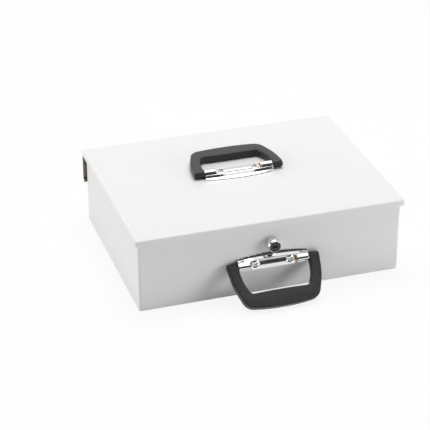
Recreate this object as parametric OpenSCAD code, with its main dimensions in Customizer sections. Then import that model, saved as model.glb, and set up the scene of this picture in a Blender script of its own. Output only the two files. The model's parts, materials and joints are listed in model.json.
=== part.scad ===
// Fireproof document box: an insulated steel case with a hinged lid, a wafer cam lock
// and two folding carry handles, one on the lid and one on the front.
// Millimetres, +Z up, the front faces -Y. The origin is the middle of the flat base.

/* [Case] */
// Width of the case across its side walls
body_w = 352; // [280:1:460]
// Depth of the case across its front and rear walls
body_d = 260; // [215:1:340]
// Height from the base to the top of the closed lid
box_h = 103.5; // [90:0.5:150]
// Thickness of an insulated wall, skins included
wall_t = 18; // [14:0.5:24]
// Thickness of the insulated floor, skins included
floor_t = 18; // [14:0.5:24]
// Sheet thickness of the outer shell
shell_t = 0.9; // [0.6:0.1:1.5]
// Sheet thickness of the liner and the lid pan
liner_t = 0.7; // [0.5:0.1:1.2]
// Width of the shell's top flange, turned inwards
shell_flange_w = 10; // [6:0.5:12]
// Width of the liner's top flange, turned outwards
liner_flange_w = 12; // [8:0.5:13]
// Radius of the upright corners of the shell
corner_r = 3; // [1:0.5:6]

/* [Lid] */
// How far the lid rim stands out past the front and side walls
lid_overhang = 4; // [2:0.5:8]
// Depth of the lid rim at the front and sides
rim_h = 8; // [5:0.5:14]
// How far the lid plug reaches below the top of the lid
plug_depth = 15.5; // [10:0.5:22]
// Gap between the lid plug and the liner at the front and sides
plug_gap = 3; // [1.5:0.5:6]
// Thickness of the heat seal round the rim
seal_t = 3; // [2:0.5:5]
// Width of the heat seal
seal_w = 9; // [6:0.5:12]

/* [Hinge] */
// Height of the hinge pin's axis above the base
hinge_z = 58; // [45:0.5:75]
// Outer diameter of the rolled knuckles
knuckle_d = 5; // [4:0.5:8]
// Diameter of the hinge pin
hinge_pin_d = 2.9; // [2:0.1:4]
// Thickness of a hinge leaf
leaf_t = 1; // [0.6:0.1:1.4]
// Height of the leaves above the pin's axis
leaf_h = 37; // [25:0.5:40]
// Number of knuckles, an odd number
knuckle_n = 13; // [7:2:21]
// Number of rivets in each leaf
rivet_n = 6; // [3:1:10]
// Diameter of a rivet's shank
rivet_d = 3; // [2:0.5:4]

/* [Lock] */
// Height of the lock's axis above the base
lock_z = 70; // [60:0.5:78]
// Diameter of the lock's head where it meets the case
lock_head_d = 19; // [17:0.5:24]
// How far the lock's head stands out of the case
lock_head_h = 12.5; // [8:0.5:15]
// Diameter of the threaded barrel through the wall
lock_barrel_d = 15.5; // [15:0.5:18]
// Diameter of the turning plug
plug_d = 12; // [10:0.5:13]
// Diameter of the plug's face
plug_face_d = 14.5; // [13:0.5:15]
// Number of wafers in the plug
wafer_n = 5; // [3:1:6]
// Reach of the cam from the lock's axis
cam_reach = 16; // [14:0.5:17]
// Width of the cam's arm
cam_w = 8; // [6:0.5:10]
// Thickness of the cam
cam_t = 2; // [1.5:0.5:3]

/* [Handles] */
// Height of the front handle's pivot above the base
front_pivot_z = 44; // [36:0.5:50]
// Place of the lid handle's pivot along Y
lid_pivot_y = 5; // [-20:0.5:20]
// Width of a grip at its pivots
grip_w = 123; // [105:1:150]
// Thickness of a grip
grip_t = 11; // [8:0.5:11]
// Width of a grip's arm at the pivot
arm_w = 13.9; // [12:0.1:18]
// Distance from the pivot to the outer edge of a grip
grip_reach = 58.5; // [50:0.5:62]
// Width of the bar that the hand holds
bar_w = 21.5; // [16:0.5:24]
// Outer diameter of a bracket's rolled tubes
tube_d = 10; // [9.5:0.5:11]
// Length of a rolled tube
tube_l = 14; // [10:0.5:18]
// Diameter of a pivot pin
pivot_pin_d = 7.5; // [6:0.1:8]
// Sheet thickness of a bracket
bracket_t = 1.2; // [0.8:0.1:2]
// How far the bracket's arch rises past the pivot line
arch_h = 14; // [11:0.5:18]
// Distance between the two screws of a bracket
screw_pitch = 46.5; // [38:0.5:50]
// Place of the screws past the pivot line, towards the arch
screw_y = 2.2; // [1:0.1:3]
// Diameter of a handle screw
screw_d = 4; // [3:0.5:5]

/* [Clearances] */
// Radial clearance of a shaft that turns in a bore
run_gap = 0.05; // [0.02:0.01:0.1]
// Gap between faces that seat on each other but belong to moving pieces
seat_gap = 0.3; // [0.2:0.05:0.5]
// Radial clearance of a screw, rivet or barrel in its sheet
hole_gap = 0.2; // [0.1:0.05:0.5]
// End gap between a moving piece and the next
end_gap = 0.4; // [0.2:0.1:1]

/* [Hidden] */
$fn = 48;
cut = 1; // how far a cutter runs past the face it opens

// Case faces and levels
case_x = body_w / 2;
case_y = body_d / 2;
cavity_x = case_x - wall_t;
cavity_y = case_y - wall_t;
pan_flange_top = box_h - shell_t;
seal_top = pan_flange_top - liner_t;
rim_top = seal_top - seal_t - seat_gap;
shell_top = rim_top - liner_t;
fill_top = shell_top - shell_t;
fill_bottom = floor_t - liner_t;

// Hinge: both leaves stand folded between the rear wall and the lid's deep rear flange
leaf_off = knuckle_d / 2 + seat_gap;
hinge_y = case_y + leaf_off;
flange_y = hinge_y + leaf_off;
knuckle_r = knuckle_d / 2;
knuckle_bore_r = hinge_pin_d / 2 + run_gap;
flange_drop = 2;
leaf_clear = sqrt(max(0, knuckle_r * knuckle_r - pow(leaf_off - leaf_t, 2))) + end_gap;
rivet_head_r = rivet_d - 0.4;
rivet_head_h = 1;
rivet_head_out_h = 0.8;
rivet_z = hinge_z + leaf_h * 0.6;

// Lid
lid_x = case_x + lid_overhang;
lid_front_y = -(case_y + lid_overhang);
lid_rear_y = flange_y + shell_t;
pan_x = cavity_x - plug_gap;
pan_front_y = -(cavity_y - plug_gap);
pan_bottom = box_h - plug_depth;
pan_flange_in = 5;
hinge_length = 2 * (lid_x - end_gap);

// The plug's lower rear edge swings about the pin outside the liner's top edge
swing_gap = 1.2;
liner_edge_r = norm([hinge_y - cavity_y, rim_top - hinge_z]) + swing_gap;
pan_rear_y = hinge_y - sqrt(pow(liner_edge_r, 2) - pow(pan_bottom - hinge_z, 2));

// Lock, measured along Y from the front face into the case
lock_bore_r = plug_d / 2 + run_gap;
face_bore_r = plug_face_d / 2 + run_gap;
face_disc_h = 2;
lock_nut_t = 3.5;
lock_nut_af = 19;
barrel_l = wall_t + lock_nut_t + 0.2;
cam_y = barrel_l + seat_gap;
tang = 7;
tang_l = cam_t;
cam_washer_t = 0.8;
cam_screw_d = 4;
cam_screw_hole_l = 4.5;
cam_hub_r = 7;
keyway_w = 6.5;
keyway_t = 2;
keyway_l = 26;
wafer_t = 1.2;
wafer_h = 5;
wafer_pitch = 3.6;

// Keeper: hangs from the lid plug behind the cam, and its lip lies under the turned cam
keeper_t = 1.5;
keeper_x = cam_hub_r + 1.5;
keeper_w = 12;
keeper_lip_l = cam_t + 3;
keeper_gap = 1.8;
keeper_back_y = -case_y + cam_y + cam_t + keeper_gap;
keeper_lip_z = lock_z - cam_w / 2 - 0.5 - keeper_t;
keeper_foot_l = 14;

// Handles, in a frame on the carrying face: X along the pivot, Y towards the arch, Z outwards
grip_r = grip_t / 2;
pivot_h = grip_r + seat_gap;
tube_bore_r = pivot_pin_d / 2 + run_gap;
bracket_x = grip_w / 2 - arm_w - end_gap * 1.5;
tube_x = bracket_x - tube_l;
arch_end_h = arch_h - 6;
arch_r = (pow(bracket_x, 2) + pow(arch_h - arch_end_h, 2)) / (2 * (arch_h - arch_end_h));
lower_edge = tube_d / 2;
pad_h = 4.4;
scoop_r = 9.5;
ridge_y = 6;
ridge_top_y = 7.8;
ridge_h = 5.8;
ridge_foot = 9.8;
lip_h = 8;
pin_in_arm = arm_w - 3;
pin_past_tube = 2.2;
screw_head_r = 4.5;
screw_head_h = 2.4;
screw_in = 7; // how far a handle screw reaches behind the face
nut_af = 7;
nut_t = 3.2;
nut_pocket_r = 5;
nut_pocket_h = screw_in + 3;
grip_in = grip_reach - bar_w;

// The front grip's rest angle: its outer edge lies on the surface that the case stands on
grip_diag = norm([grip_reach, grip_r]);
front_tilt = atan(grip_r / grip_reach) + acos(min(1, (front_pivot_z - seat_gap) / grip_diag));

// A curve that replaces corner p between the points a and b, starting size before it
function soft_corner(a, p, b, size) =
    let (u = (a - p) / norm(a - p), v = (b - p) / norm(b - p))
    [for (s = [0:0.125:1])
        pow(1 - s, 2) * (p + size * u) + 2 * s * (1 - s) * p + pow(s, 2) * (p + size * v)];

// Points of a half outline, mirrored to the other side of the Y axis
function both_sides(half) =
    concat(half, [for (i = [len(half) - 1:-1:0]) [-half[i][0], half[i][1]]]);

// A rectangle with round corners, centred
module round_rect(w, d, r) {
    square([w - 2 * r, d], center = true);
    square([w, d - 2 * r], center = true);
    for (sx = [-1, 1], sy = [-1, 1])
        translate([sx * (w / 2 - r), sy * (d / 2 - r)])
            circle(r);
}

// A box between two corners
module block(low, high) {
    translate(low)
        cube(high - low);
}

// Places children in a handle's frame
module on_front() {
    translate([0, -case_y, front_pivot_z])
        rotate([90, 0, 0])
            children();
}

module on_lid() {
    translate([0, lid_pivot_y, box_h])
        rotate([0, 0, 180])
            children();
}

// Places children on the lock's axis, +Z running into the case from its front face
module on_lock() {
    translate([0, -case_y, lock_z])
        rotate([-90, 0, 0])
            children();
}

module at_screws() {
    for (sx = [-1, 1])
        translate([sx * screw_pitch / 2, screw_y, 0])
            children();
}

module screw_holes() {
    at_screws()
        translate([0, 0, -shell_t - cut])
            cylinder(r = screw_d / 2 + hole_gap, h = shell_t + 2 * cut);
}

module nut_pockets() {
    at_screws()
        translate([0, 0, -shell_t - nut_pocket_h])
            cylinder(r = nut_pocket_r, h = nut_pocket_h + cut);
}

module at_rivets() {
    for (i = [0:rivet_n - 1])
        translate([(i + 0.5 - rivet_n / 2) * hinge_length / (rivet_n + 0.5), 0, rivet_z])
            children();
}

// A round bar along Y between two places, at the height of the children's frame
module y_rod(r, y0, y1) {
    translate([0, y0, 0])
        rotate([-90, 0, 0])
            cylinder(r = r, h = y1 - y0);
}

// ---------------------------------------------------------------- case

module outer_shell() {
    color("gainsboro")
        difference() {
            linear_extrude(shell_top)
                round_rect(body_w, body_d, corner_r);
            translate([0, 0, shell_t])
                linear_extrude(shell_top - 2 * shell_t)
                    round_rect(body_w - 2 * shell_t, body_d - 2 * shell_t, corner_r - shell_t);
            block([-case_x + shell_t + shell_flange_w, -case_y + shell_t + shell_flange_w, fill_top - cut],
                [case_x - shell_t - shell_flange_w, case_y - shell_t - shell_flange_w, shell_top + cut]);
            on_front()
                screw_holes();
            on_lock()
                translate([0, 0, -cut])
                    cylinder(r = lock_barrel_d / 2 + hole_gap, h = shell_t + 2 * cut);
            at_rivets()
                y_rod(rivet_d / 2 + hole_gap, case_y - shell_t - cut, case_y + cut);
        }
}

module inner_liner() {
    color("lightgray")
        difference() {
            union() {
                block([-cavity_x - liner_t, -cavity_y - liner_t, fill_bottom],
                    [cavity_x + liner_t, cavity_y + liner_t, rim_top]);
                block([-cavity_x - liner_flange_w, -cavity_y - liner_flange_w, shell_top],
                    [cavity_x + liner_flange_w, cavity_y + liner_flange_w, rim_top]);
            }
            block([-cavity_x, -cavity_y, floor_t], [cavity_x, cavity_y, rim_top + cut]);
            on_lock()
                translate([0, 0, wall_t - liner_t - cut])
                    cylinder(r = lock_barrel_d / 2 + hole_gap, h = liner_t + 2 * cut);
        }
}

// Outer limits of the space that the insulation fills
fill_x = case_x - shell_t;
fill_y = case_y - shell_t;
inner_x = cavity_x + liner_t;
inner_y = cavity_y + liner_t;

module fill_volume() {
    translate([0, 0, shell_t])
        linear_extrude(fill_top - shell_t)
            round_rect(2 * fill_x, 2 * fill_y, corner_r - shell_t);
}

module insulation_bottom() {
    color("wheat")
        intersection() {
            fill_volume();
            block([-fill_x, -fill_y, shell_t], [fill_x, fill_y, fill_bottom]);
        }
}

module insulation_side(sx) {
    color("wheat")
        intersection() {
            fill_volume();
            block([min(sx * inner_x, sx * fill_x), -fill_y, fill_bottom],
                [max(sx * inner_x, sx * fill_x), fill_y, fill_top]);
        }
}

module insulation_left() {
    insulation_side(-1);
}

module insulation_right() {
    insulation_side(1);
}

module insulation_front() {
    color("wheat")
        difference() {
            block([-inner_x, -fill_y, fill_bottom], [inner_x, -inner_y, fill_top]);
            on_front()
                nut_pockets();
            on_lock()
                cylinder(r = lock_barrel_d / 2 + hole_gap, h = wall_t);
        }
}

module insulation_rear() {
    color("wheat")
        difference() {
            block([-inner_x, inner_y, fill_bottom], [inner_x, fill_y, fill_top]);
            at_rivets()
                y_rod(rivet_head_r + hole_gap, fill_y - rivet_head_h - hole_gap, fill_y + cut);
        }
}

// ---------------------------------------------------------------- hinge

knuckle_pitch = hinge_length / knuckle_n;

// Knuckles of one leaf: every other one, from the first given
module knuckles(first, side) {
    for (i = [first:2:knuckle_n - 1])
        translate([-hinge_length / 2 + i * knuckle_pitch, hinge_y, hinge_z])
            difference() {
                union() {
                    translate([end_gap / 2, 0, 0])
                        rotate([0, 90, 0])
                            cylinder(r = knuckle_r, h = knuckle_pitch - end_gap);
                    block([end_gap / 2, min(side * (leaf_off - leaf_t), side * leaf_off), 0],
                        [knuckle_pitch - end_gap / 2, max(side * (leaf_off - leaf_t), side * leaf_off),
                            leaf_clear]);
                }
                translate([-cut, 0, 0])
                    rotate([0, 90, 0])
                        cylinder(r = knuckle_bore_r, h = knuckle_pitch + 2 * cut);
            }
}

module hinge_leaf_case() {
    half = hinge_length / 2 - knuckle_pitch;
    color("dimgray")
        difference() {
            union() {
                knuckles(1, -1);
                block([-half, case_y, hinge_z + leaf_clear], [half, case_y + leaf_t, hinge_z + leaf_h]);
            }
            at_rivets()
                y_rod(rivet_d / 2 + hole_gap, case_y - cut, case_y + leaf_t + cut);
        }
}

module hinge_leaf_lid() {
    color("dimgray")
        difference() {
            union() {
                knuckles(0, 1);
                block([-hinge_length / 2, flange_y - leaf_t, hinge_z + leaf_clear],
                    [hinge_length / 2, flange_y, hinge_z + leaf_h]);
            }
            at_rivets()
                y_rod(rivet_d / 2 + hole_gap, flange_y - leaf_t - cut, flange_y + cut);
        }
}

module hinge_pin() {
    color("silver")
        translate([-hinge_length / 2, hinge_y, hinge_z])
            rotate([0, 90, 0])
                cylinder(r = hinge_pin_d / 2, h = hinge_length);
}

// A rivet through the stack of sheets from y0 to y1, with a head on each side
module rivet(y0, y1, head0_h, head1_h) {
    y_rod(rivet_d / 2, y0 - head0_h / 2, y1 + head1_h / 2);
    y_rod(rivet_head_r, y0 - head0_h, y0);
    y_rod(rivet_head_r, y1, y1 + head1_h);
}

module hinge_rivets_case() {
    color("silver")
        at_rivets()
            rivet(case_y - shell_t, case_y + leaf_t, rivet_head_h, rivet_head_h);
}

module hinge_rivets_lid() {
    color("gainsboro")
        at_rivets()
            rivet(flange_y - leaf_t, lid_rear_y, rivet_head_h, rivet_head_out_h);
}

// ---------------------------------------------------------------- lid

// The lid's outline, pulled in by inset: round at the front, square at the hinge
module lid_plan(inset) {
    w = 2 * (lid_x - inset);
    front = lid_front_y + inset;
    rear = lid_rear_y - inset;
    r = corner_r - min(inset, corner_r / 2);
    translate([-w / 2, front + r])
        square([w, rear - front - r]);
    translate([-w / 2 + r, front])
        square([w - 2 * r, 2 * r]);
    for (sx = [-1, 1])
        translate([sx * (w / 2 - r), front + r])
            circle(r);
}

module lid_shell() {
    color("gainsboro")
        difference() {
            union() {
                translate([0, 0, box_h - rim_h])
                    linear_extrude(rim_h)
                        lid_plan(0);
                block([-lid_x, flange_y, hinge_z - flange_drop], [lid_x, lid_rear_y, box_h - rim_h / 2]);
            }
            translate([0, 0, box_h - rim_h - cut])
                linear_extrude(rim_h + cut - shell_t)
                    lid_plan(shell_t);
            on_lid()
                screw_holes();
            at_rivets()
                y_rod(rivet_d / 2 + hole_gap, flange_y - cut, lid_rear_y + cut);
        }
}

pan_flange_x = lid_x - shell_t - pan_flange_in;
pan_flange_front = lid_front_y + shell_t + pan_flange_in;
pan_flange_rear = flange_y - leaf_t - pan_flange_in;

module lid_pan() {
    color("lightgray")
        difference() {
            union() {
                block([-pan_flange_x, pan_flange_front, seal_top],
                    [pan_flange_x, pan_flange_rear, pan_flange_top]);
                block([-pan_x, pan_front_y, pan_bottom], [pan_x, pan_rear_y, pan_flange_top]);
            }
            block([-pan_x + liner_t, pan_front_y + liner_t, pan_bottom + liner_t],
                [pan_x - liner_t, pan_rear_y - liner_t, pan_flange_top + cut]);
            at_keeper_rivets()
                translate([0, 0, -cut])
                    cylinder(r = rivet_d / 2 + hole_gap, h = liner_t + 2 * cut);
        }
}

module lid_insulation() {
    color("wheat")
        difference() {
            block([-pan_x + liner_t, pan_front_y + liner_t, pan_bottom + liner_t],
                [pan_x - liner_t, pan_rear_y - liner_t, pan_flange_top]);
            on_lid()
                nut_pockets();
            at_keeper_rivets()
                cylinder(r = rivet_head_r + hole_gap, h = liner_t + rivet_head_h + hole_gap);
        }
}

seal_in = (wall_t - seal_w) / 2;

module rim_seal() {
    color("dimgray")
        difference() {
            block([-cavity_x - seal_in - seal_w, -cavity_y - seal_in - seal_w, seal_top - seal_t],
                [cavity_x + seal_in + seal_w, cavity_y + seal_in + seal_w, seal_top]);
            block([-cavity_x - seal_in, -cavity_y - seal_in, seal_top - seal_t - cut],
                [cavity_x + seal_in, cavity_y + seal_in, seal_top + cut]);
        }
}

// ---------------------------------------------------------------- lock

module lock_housing() {
    edge = 2.5;
    color("silver")
        on_lock()
            difference() {
                union() {
                    translate([0, 0, -(lock_head_h - edge)])
                        cylinder(r = lock_head_d / 2, h = lock_head_h - edge);
                    translate([0, 0, -lock_head_h])
                        cylinder(r1 = face_bore_r + 1, r2 = lock_head_d / 2, h = edge);
                    cylinder(r = lock_barrel_d / 2, h = barrel_l);
                }
                translate([0, 0, -lock_head_h - cut])
                    cylinder(r = lock_bore_r, h = lock_head_h + barrel_l + 2 * cut);
                translate([0, 0, -lock_head_h - cut])
                    cylinder(r = face_bore_r, h = face_disc_h + run_gap + cut);
            }
}

module lock_nut() {
    color("silver")
        on_lock()
            translate([0, 0, wall_t])
                difference() {
                    cylinder(r = lock_nut_af / sqrt(3), h = lock_nut_t, $fn = 6);
                    translate([0, 0, -cut])
                        cylinder(r = lock_barrel_d / 2, h = lock_nut_t + 2 * cut);
                }
}

// Wafers lie across the plug, one behind the other, with the key's window through each
module at_wafers() {
    for (i = [0:wafer_n - 1])
        translate([0, 0, (i - (wafer_n - 1) / 2) * wafer_pitch])
            children();
}

module lock_plug() {
    color("dimgray")
        on_lock()
            difference() {
                union() {
                    translate([0, 0, -lock_head_h])
                        cylinder(r = plug_face_d / 2, h = face_disc_h);
                    translate([0, 0, -lock_head_h])
                        cylinder(r = plug_d / 2, h = lock_head_h + barrel_l);
                    translate([-tang / 2, -tang / 2, barrel_l - cut])
                        cube([tang, tang, cut + seat_gap + tang_l]);
                }
                translate([-keyway_w / 2, -keyway_t / 2, -lock_head_h - cut])
                    cube([keyway_w, keyway_t, keyway_l]);
                at_wafers()
                    cube([plug_d + cut, wafer_h + 2 * run_gap, wafer_t + 2 * run_gap], center = true);
                translate([0, 0, barrel_l - cam_screw_hole_l])
                    cylinder(r = cam_screw_d / 2, h = cam_screw_hole_l + tang_l + seat_gap + cut);
            }
}

module lock_wafers() {
    wafer_l = 2 * (sqrt(pow(plug_d / 2, 2) - pow(wafer_h / 2, 2)) - run_gap);
    color("gold")
        on_lock()
            at_wafers()
                difference() {
                    cube([wafer_l, wafer_h, wafer_t], center = true);
                    cube([keyway_w + 2 * run_gap, keyway_t + 2 * run_gap, wafer_t + cut], center = true);
                }
}

module lock_cam() {
    color("silver")
        on_lock()
            translate([0, 0, cam_y])
                difference() {
                    union() {
                        cylinder(r = cam_hub_r, h = cam_t);
                        translate([-cam_w / 2, -(cam_reach - cam_w / 2), 0])
                            cube([cam_w, cam_reach - cam_w / 2, cam_t]);
                        translate([0, -(cam_reach - cam_w / 2), 0])
                            cylinder(r = cam_w / 2, h = cam_t);
                    }
                    translate([0, 0, cam_t / 2])
                        cube([tang + 2 * run_gap, tang + 2 * run_gap, cam_t + 2 * cut], center = true);
                }
}

cam_back = cam_y + cam_t;

module cam_washer() {
    color("silver")
        on_lock()
            translate([0, 0, cam_back])
                difference() {
                    cylinder(r = cam_hub_r - 1, h = cam_washer_t);
                    translate([0, 0, -cut])
                        cylinder(r = cam_screw_d / 2 + hole_gap, h = cam_washer_t + 2 * cut);
                }
}

// A pan head with a cross recess, standing on z = 0
module pan_head(r, h) {
    recess = [r * 1.1, 0.9, h];
    difference() {
        cylinder(r1 = r, r2 = r * 0.8, h = h);
        for (turn = [0, 90])
            rotate([0, 0, turn])
                translate([0, 0, h * 0.4 + recess[2] / 2])
                    cube(recess, center = true);
    }
}

module cam_screw() {
    color("silver")
        on_lock()
            translate([0, 0, cam_back + cam_washer_t]) {
                pan_head(cam_screw_d * 0.9, cam_screw_d * 0.3);
                translate([0, 0, -6])
                    cylinder(r = cam_screw_d / 2 - 0.02, h = 6);
            }
}

// ---------------------------------------------------------------- keeper

module at_keeper_rivets() {
    for (sx = [-1, 1])
        translate([keeper_x + keeper_w / 2 + sx * keeper_w / 4, keeper_back_y + keeper_foot_l / 2 + keeper_t,
                pan_bottom])
            children();
}

module lock_keeper() {
    y0 = keeper_back_y;
    x0 = keeper_x;
    x1 = keeper_x + keeper_w;
    color("silver")
        difference() {
            union() {
                block([x0, y0, keeper_lip_z], [x1, y0 + keeper_t, pan_bottom]);
                block([x0, y0 - keeper_lip_l, keeper_lip_z], [x1, y0 + keeper_t, keeper_lip_z + keeper_t]);
                block([x0, y0, pan_bottom - keeper_t], [x1, y0 + keeper_t + keeper_foot_l, pan_bottom]);
            }
            at_keeper_rivets()
                translate([0, 0, -keeper_t - cut])
                    cylinder(r = rivet_d / 2 + hole_gap, h = keeper_t + 2 * cut);
        }
}

module keeper_rivets() {
    color("silver")
        at_keeper_rivets() {
            translate([0, 0, -keeper_t - rivet_head_h])
                cylinder(r = rivet_head_r, h = rivet_head_h);
            translate([0, 0, -keeper_t - rivet_head_h / 2])
                cylinder(r = rivet_d / 2, h = keeper_t + liner_t + rivet_head_h);
            translate([0, 0, liner_t])
                cylinder(r = rivet_head_r, h = rivet_head_h);
        }
}

// ---------------------------------------------------------------- handles

// The bracket's outline on its face: straight on the grip's side, an arch on the other
module bracket_outline() {
    intersection() {
        translate([0, arch_h - arch_r])
            circle(arch_r, $fn = 180);
        translate([-bracket_x, -lower_edge])
            square([2 * bracket_x, lower_edge + arch_h]);
    }
}

// The pressed rib along the arch side, as a profile of (Y, Z) drawn out along X
module rib(profile, half_length) {
    translate([-half_length, 0, 0])
        rotate([90, 0, 90])
            linear_extrude(2 * half_length)
                polygon(profile);
}

module bracket() {
    t = bracket_t;
    outer_rib = [[ridge_y, 0], [ridge_y, pad_h], [ridge_top_y, ridge_h], [ridge_foot, t], [ridge_foot, 0]];
    inner_rib = [[ridge_y + t, -cut], [ridge_y + t, pad_h - t / 2], [ridge_top_y, ridge_h - 1.5 * t],
        [ridge_foot - t, -cut]];
    color("silver")
        difference() {
            union() {
                difference() {
                    union() {
                        linear_extrude(t)
                            bracket_outline();
                        rib(outer_rib, bracket_x);
                    }
                    rib(inner_rib, bracket_x + cut);
                }
                block([-tube_x, -tube_d / 2, 0], [tube_x, ridge_y + t, pad_h]);
                block([-tube_x, -tube_d / 2, 0], [tube_x, -tube_d / 2 + t, lip_h]);
                for (sx = [-1, 1]) {
                    translate([sx * (tube_x + tube_l / 2), 0, pivot_h])
                        rotate([0, 90, 0])
                            cylinder(d = tube_d, h = tube_l, center = true);
                    translate([sx * (tube_x + tube_l / 2), 0, pivot_h / 2])
                        cube([tube_l, tube_d, pivot_h], center = true);
                }
            }
            translate([-bracket_x - cut, 0, pivot_h])
                rotate([0, 90, 0])
                    cylinder(r = tube_bore_r, h = 2 * (bracket_x + cut));
            at_screws() {
                translate([0, 0, -cut])
                    cylinder(r = screw_d / 2 + hole_gap, h = pad_h + 2 * cut);
                translate([0, 0, pad_h])
                    cylinder(r = screw_head_r + hole_gap, h = tube_d);
                intersection() {
                    translate([0, 0, pad_h])
                        cylinder(r = scoop_r, h = tube_d);
                    translate([-scoop_r, -tube_d, 0])
                        cube([2 * scoop_r, tube_d + ridge_y - screw_y, 2 * tube_d]);
                }
            }
        }
}

module bracket_screws() {
    color("silver")
        at_screws()
            translate([0, 0, pad_h]) {
                pan_head(screw_head_r, screw_head_h);
                translate([0, 0, -pad_h - screw_in])
                    cylinder(r = screw_d / 2 - 0.02, h = pad_h + screw_in);
            }
}

module bracket_nuts() {
    color("silver")
        at_screws()
            translate([0, 0, -shell_t - nut_t])
                difference() {
                    cylinder(r = nut_af / sqrt(3), h = nut_t, $fn = 6);
                    translate([0, 0, -cut])
                        cylinder(r = screw_d / 2, h = nut_t + 2 * cut);
                }
}

// A grip lying in the plane of its pivots, its bar on the side away from the arch
module grip() {
    half = grip_w / 2;
    outer_top = [half, 0];
    outer_side = [half - 2, -grip_reach * 0.42];
    outer_corner = [half - 12.5, -grip_reach * 0.93];
    outer_bar = [half * 0.3, -grip_reach - 0.4];
    inner_top = [half - arm_w, -arch_end_h - end_gap];
    inner_corner = [half - arm_w - 8.5, -grip_in];
    inner_side = [half - arm_w - 3, -grip_in * 0.62];
    outline = both_sides(concat(
        [outer_top],
        soft_corner(outer_top, outer_side, outer_corner, 12),
        soft_corner(outer_side, outer_corner, outer_bar, 13),
        soft_corner(outer_corner, outer_bar, [-half * 0.3, -grip_reach - 0.4], 16)));
    opening = both_sides(concat(
        [[half - arm_w, cut], inner_top],
        soft_corner(inner_top, inner_side, inner_corner, 6),
        soft_corner(inner_side, inner_corner, [0, -grip_in], 6)));
    color([0.13, 0.13, 0.14])
        difference() {
            union() {
                translate([0, 0, -grip_r])
                    linear_extrude(grip_t)
                        difference() {
                            polygon(outline);
                            polygon(opening);
                        }
                for (sx = [-1, 1])
                    translate([sx * (half - arm_w / 2), 0, 0])
                        rotate([0, 90, 0])
                            cylinder(r = grip_r, h = arm_w, center = true);
            }
            for (sx = [-1, 1])
                translate([sx * (half - arm_w + pin_in_arm / 2), 0, 0])
                    rotate([0, 90, 0])
                        cylinder(d = pivot_pin_d, h = pin_in_arm, center = true);
        }
}

// Each pin is fixed in its arm and turns in its tube, and shows past the tube's inner end
module pivot_pins() {
    pin_l = pin_in_arm + (grip_w / 2 - arm_w - tube_x) + pin_past_tube;
    color("goldenrod")
        for (sx = [-1, 1])
            translate([sx * (grip_w / 2 - arm_w + pin_in_arm - pin_l / 2), 0, 0])
                rotate([0, 90, 0])
                    cylinder(d = pivot_pin_d, h = pin_l, center = true);
}

// Turns a grip and its pins about the bracket's pivot, outwards from the face
module on_pivot(tilt) {
    translate([0, 0, pivot_h])
        rotate([-tilt, 0, 0])
            children();
}

module front_bracket() {
    on_front()
        bracket();
}

module front_bracket_screws() {
    on_front()
        bracket_screws();
}

module front_bracket_nuts() {
    on_front()
        bracket_nuts();
}

module front_grip() {
    on_front()
        on_pivot(front_tilt)
            grip();
}

module front_pivot_pins() {
    on_front()
        on_pivot(front_tilt)
            pivot_pins();
}

module lid_bracket() {
    on_lid()
        bracket();
}

module lid_bracket_screws() {
    on_lid()
        bracket_screws();
}

module lid_bracket_nuts() {
    on_lid()
        bracket_nuts();
}

module lid_grip() {
    on_lid()
        on_pivot(0)
            grip();
}

module lid_pivot_pins() {
    on_lid()
        on_pivot(0)
            pivot_pins();
}

outer_shell();
inner_liner();
insulation_bottom();
insulation_front();
insulation_rear();
insulation_left();
insulation_right();
hinge_leaf_case();
hinge_leaf_lid();
hinge_pin();
hinge_rivets_case();
hinge_rivets_lid();
lid_shell();
lid_pan();
lid_insulation();
rim_seal();
lock_housing();
lock_nut();
lock_plug();
lock_wafers();
lock_cam();
cam_washer();
cam_screw();
lock_keeper();
keeper_rivets();
front_bracket();
front_bracket_screws();
front_bracket_nuts();
front_grip();
front_pivot_pins();
lid_bracket();
lid_bracket_screws();
lid_bracket_nuts();
lid_grip();
lid_pivot_pins();
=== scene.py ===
# %% [markdown]
# # A fireproof document box
#
# The box is a pale enamelled steel case with a lid on a long hinge, a key lock, and two black carry
# handles on chrome brackets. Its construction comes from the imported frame, so every place and size
# below is read from there. What is added here is what sheet steel, chrome and moulded plastic look
# like: bends instead of sharp edges, pressed shapes, leather grain, and light to see them in.

# %% Load the frame
import json
import math

import bmesh
import bpy
import numpy as np
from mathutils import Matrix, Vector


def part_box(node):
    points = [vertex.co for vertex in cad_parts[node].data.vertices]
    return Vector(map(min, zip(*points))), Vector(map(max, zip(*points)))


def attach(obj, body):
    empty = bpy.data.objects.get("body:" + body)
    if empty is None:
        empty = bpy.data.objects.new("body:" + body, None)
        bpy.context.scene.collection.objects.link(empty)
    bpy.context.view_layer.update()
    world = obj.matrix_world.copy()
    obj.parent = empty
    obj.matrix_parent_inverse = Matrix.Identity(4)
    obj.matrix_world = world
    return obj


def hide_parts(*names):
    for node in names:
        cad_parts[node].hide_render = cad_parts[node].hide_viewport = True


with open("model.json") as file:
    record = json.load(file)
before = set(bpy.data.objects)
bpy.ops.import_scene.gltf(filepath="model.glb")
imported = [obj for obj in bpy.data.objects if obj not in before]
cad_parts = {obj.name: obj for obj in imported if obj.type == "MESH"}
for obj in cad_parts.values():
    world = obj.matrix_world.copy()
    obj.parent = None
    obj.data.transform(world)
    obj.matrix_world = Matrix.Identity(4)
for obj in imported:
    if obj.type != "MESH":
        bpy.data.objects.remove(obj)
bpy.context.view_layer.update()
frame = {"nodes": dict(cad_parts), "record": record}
record = frame["record"]
MM = 0.001

# %% [markdown]
# ## Sizes
#
# A node's lowest and highest corner say where it lies at rest, and a joint says where its axis is.
# All the new pieces are placed from these, so they stay right if the construction changes.

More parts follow.
